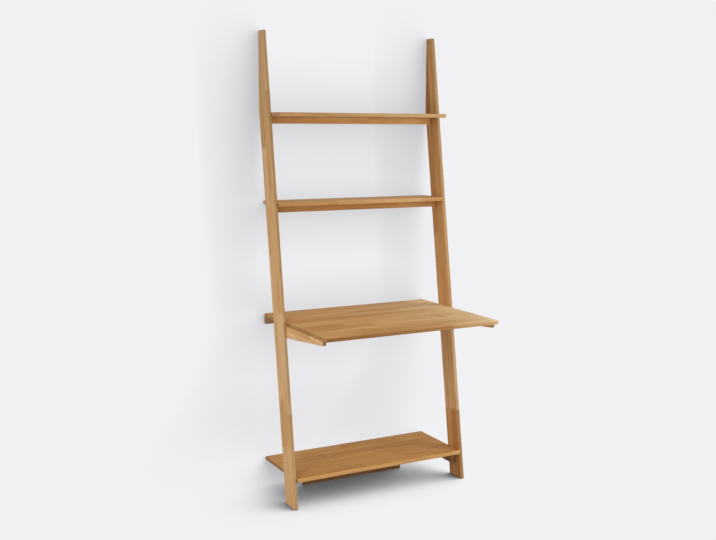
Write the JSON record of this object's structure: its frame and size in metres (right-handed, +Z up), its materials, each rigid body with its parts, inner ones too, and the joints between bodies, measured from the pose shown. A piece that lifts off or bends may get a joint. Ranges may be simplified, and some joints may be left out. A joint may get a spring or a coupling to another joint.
{
  "type": "ladder desk",
  "caption": "Leaning ladder desk: plank uprights that rest on a wall carry narrow upper shelves, a deep desk top on tapered brackets and a low bottom shelf on a plinth.",
  "frame": {"origin": "on the floor, in the middle of the width and of the overall depth", "axes": "+Z up, +X to the right seen from the front, +Y to the wall that the desk leans on"},
  "size_m": [0.81, 0.58, 1.9],
  "materials": {
    "oak": "oiled oak of edge-glued, finger-jointed staves, satin",
    "plug_oak": "oiled oak end grain, satin",
    "dowel_beech": "bare beech",
    "screw_steel": "zinc-plated steel",
    "angle_steel": "zinc-plated steel sheet"
  },
  "bodies": {
    "root": {"left_upright": "oak", "right_upright": "oak", "top_shelf": "oak", "second_shelf": "oak", "desk_top": "oak", "bottom_shelf": "oak", "top_rail": "oak", "second_rail": "oak", "desk_rear_rail": "oak", "left_desk_bracket": "oak", "right_desk_bracket": "oak", "left_cleat": "oak", "right_cleat": "oak", "plinth": "oak", "left_wall_angle": "angle_steel", "right_wall_angle": "angle_steel", "top_shelf_plug_1": "plug_oak", "top_shelf_plug_2": "plug_oak", "second_shelf_plug_1": "plug_oak", "second_shelf_plug_2": "plug_oak", "desk_top_plug_1": "plug_oak", "desk_top_plug_2": "plug_oak", "top_shelf_end_screw_1": "screw_steel", "top_shelf_end_screw_2": "screw_steel", "second_shelf_end_screw_1": "screw_steel", "second_shelf_end_screw_2": "screw_steel", "desk_top_end_screw_1": "screw_steel", "desk_top_end_screw_2": "screw_steel", "top_rail_screw_1": "screw_steel", "top_rail_screw_2": "screw_steel", "second_rail_screw_1": "screw_steel", "second_rail_screw_2": "screw_steel", "desk_rear_rail_screw_1": "screw_steel", "desk_rear_rail_screw_2": "screw_steel", "desk_bracket_screw_1": "screw_steel", "desk_bracket_screw_2": "screw_steel", "desk_bracket_screw_3": "screw_steel", "desk_bracket_screw_4": "screw_steel", "desk_bracket_side_screw_1": "screw_steel", "desk_bracket_side_screw_2": "screw_steel", "desk_bracket_side_screw_3": "screw_steel", "desk_bracket_side_screw_4": "screw_steel", "cleat_screw_1": "screw_steel", "cleat_screw_2": "screw_steel", "cleat_screw_3": "screw_steel", "cleat_screw_4": "screw_steel", "cleat_side_screw_1": "screw_steel", "cleat_side_screw_2": "screw_steel", "cleat_side_screw_3": "screw_steel", "cleat_side_screw_4": "screw_steel", "wall_angle_screw_1": "screw_steel", "wall_angle_screw_2": "screw_steel", "top_rail_dowel_1": "dowel_beech", "top_rail_dowel_2": "dowel_beech", "second_rail_dowel_1": "dowel_beech", "second_rail_dowel_2": "dowel_beech", "plinth_dowel_1": "dowel_beech", "plinth_dowel_2": "dowel_beech"}
  },
  "joints": []
}
